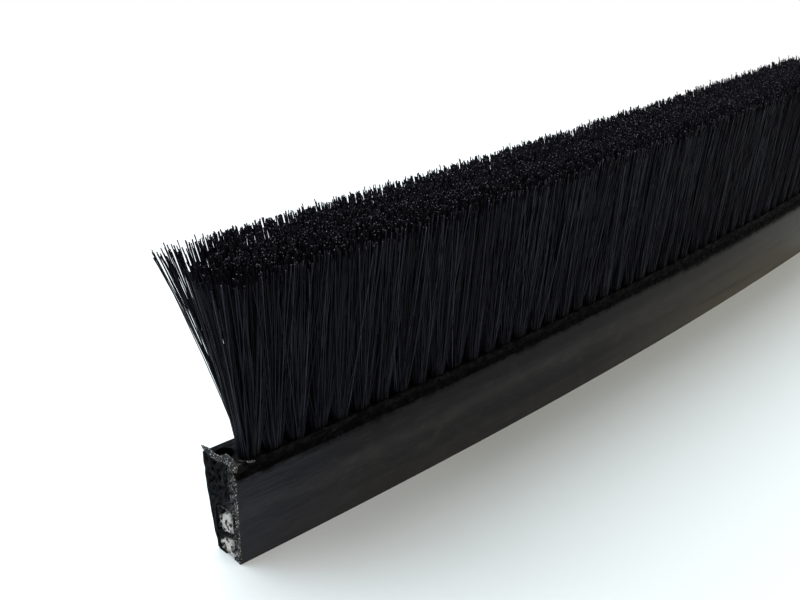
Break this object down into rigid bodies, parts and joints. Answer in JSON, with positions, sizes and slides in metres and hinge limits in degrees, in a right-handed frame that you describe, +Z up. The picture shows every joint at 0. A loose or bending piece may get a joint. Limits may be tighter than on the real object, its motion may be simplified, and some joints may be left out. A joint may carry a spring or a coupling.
{
  "type": "brush seal strip",
  "caption": "Bowed plastic rail with two staggered rows of tufted bristles standing up from its land, trimmed level, with a slotted and filled channel underneath.",
  "frame": {"origin": "on the floor, in the middle of the box of the whole strip, which stands on its rail with the bristles up", "axes": "+X runs along the strip, +Z is up towards the bristle tips, and the flat front face looks towards -Y"},
  "size_m": [0.2779, 0.0298, 0.07],
  "materials": {
    "rail": "extruded black plastic, satin, with fine lines along its length and rough sawn ends",
    "filler": "pale porous core, matt, with dark pits",
    "bristles": "black filament with a soft sheen along each bristle",
    "anchors": "flat drawn wire"
  },
  "bodies": {
    "root": {"rail": "rail", "lower_filler": "filler", "upper_filler": "filler", "anchors": "anchors", "tufts_01": "bristles", "tufts_02": "bristles", "tufts_03": "bristles", "tufts_04": "bristles", "tufts_05": "bristles", "tufts_06": "bristles", "tufts_07": "bristles", "tufts_08": "bristles", "tufts_09": "bristles", "tufts_10": "bristles", "tufts_11": "bristles", "tufts_12": "bristles", "tufts_13": "bristles", "tufts_14": "bristles", "tufts_15": "bristles", "tufts_16": "bristles", "tufts_17": "bristles", "tufts_18": "bristles", "tufts_19": "bristles", "tufts_20": "bristles", "tufts_21": "bristles", "tufts_22": "bristles", "tufts_23": "bristles", "tufts_24": "bristles", "tufts_25": "bristles", "tufts_26": "bristles", "tufts_27": "bristles", "tufts_28": "bristles", "tufts_29": "bristles", "tufts_30": "bristles", "tufts_31": "bristles", "tufts_32": "bristles", "tufts_33": "bristles", "tufts_34": "bristles", "tufts_35": "bristles", "tufts_36": "bristles", "tufts_37": "bristles", "tufts_38": "bristles", "tufts_39": "bristles", "tufts_40": "bristles", "tufts_41": "bristles", "tufts_42": "bristles"}
  },
  "joints": []
}
